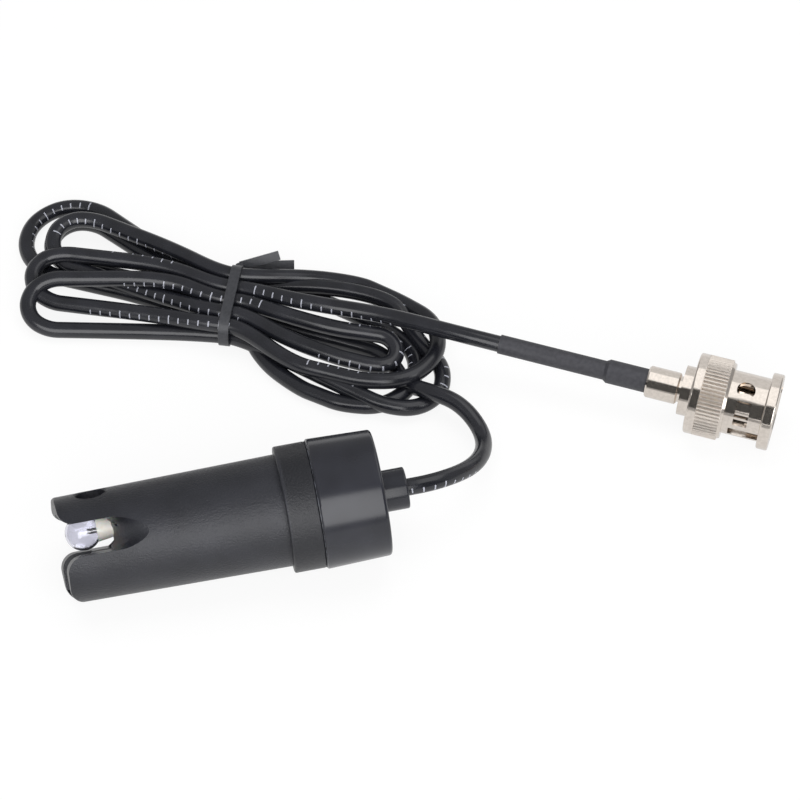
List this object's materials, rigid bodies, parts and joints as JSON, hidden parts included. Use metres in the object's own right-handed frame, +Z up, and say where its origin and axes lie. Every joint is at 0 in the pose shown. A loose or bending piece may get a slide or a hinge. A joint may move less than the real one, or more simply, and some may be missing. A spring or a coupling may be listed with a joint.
{
  "type": "ph electrode",
  "caption": "Combination pH electrode in a black slotted guard, lying down, with its tied 1 m cable and a bayonet coaxial plug whose sleeve turns.",
  "frame": {"origin": "middle of the electrode's footprint on the table; the cord, hank and plug lie beside it", "axes": "+X from the tip to the cable end along the electrode as it lies, +Z up, -Y to the viewer"},
  "size_m": [0.1401, 0.1011, 0.0242],
  "materials": {
    "black_abs_grained": "fine moulded grain",
    "black_abs_smooth": "semi-gloss moulded",
    "black_epoxy": "cast, gloss",
    "grey_plastic": "turned",
    "lab_glass": "clear, blown",
    "clear_gel": "clear, wet",
    "cream_silicone": "smooth moulded",
    "nitrile_rubber": "moulded",
    "porous_ceramic": "sintered, porous",
    "silver_wire": "drawn",
    "tinned_copper": "drawn, tinned",
    "clear_glue": "set glue line",
    "nickel_brass": "nickel plated, bright",
    "gilt_brass": "gold plated",
    "spring_steel": "ground",
    "white_ptfe": "turned",
    "core_plastic": "extruded",
    "heat_shrink_black": "shrunk, satin",
    "black_cable": "extruded, smooth",
    "tie_black": "flat extruded band"
  },
  "bodies": {
    "electrode_cord_and_plug": {"guard_body": "black_abs_grained", "reference_junction": "porous_ceramic", "glass_bulb": "lab_glass", "seal_sleeve": "cream_silicone", "buffer_gel": "clear_gel", "inner_wire": "silver_wire", "tube_stopper": "cream_silicone", "reference_gel": "clear_gel", "reference_wire": "silver_wire", "partition_disc": "grey_plastic", "partition_ring": "nitrile_rubber", "potting": "black_epoxy", "rear_cap": "black_abs_smooth", "glue_bead": "clear_glue", "cable_clamp": "nickel_brass", "core_lead": "tinned_copper", "braid_lead": "tinned_copper", "plug_body": "nickel_brass", "cable_core": "core_plastic", "crimp_ferrule": "nickel_brass", "outer_contact": "nickel_brass", "plug_insulator": "white_ptfe", "centre_pin": "gilt_brass", "mating_gasket": "nitrile_rubber", "retaining_ring": "spring_steel", "wave_spring": "spring_steel", "heat_shrink_sleeve": "heat_shrink_black", "cable_probe_end": "black_cable", "cable_plug_end": "black_cable", "cable_hank": "black_cable", "twist_tie": "tie_black"},
    "spring_washer": {"thrust_washer": "spring_steel"},
    "sleeve": {"coupling_sleeve": "nickel_brass"}
  },
  "joints": [
    {"name": "sleeve_push", "type": "slide", "parent": "electrode_cord_and_plug", "child": "spring_washer", "axis": [0.8895, -0.4552, -0.0406], "range_m": [0, 0.0008], "stiffness_N_per_m": 400, "deforming": ["wave_spring"]},
    {"name": "sleeve_turn", "type": "hinge", "parent": "spring_washer", "child": "sleeve", "pos_m": [0.09653, 0.01182, 0.00771], "axis": [0.8895, -0.4552, -0.0406], "continuous": true}
  ]
}
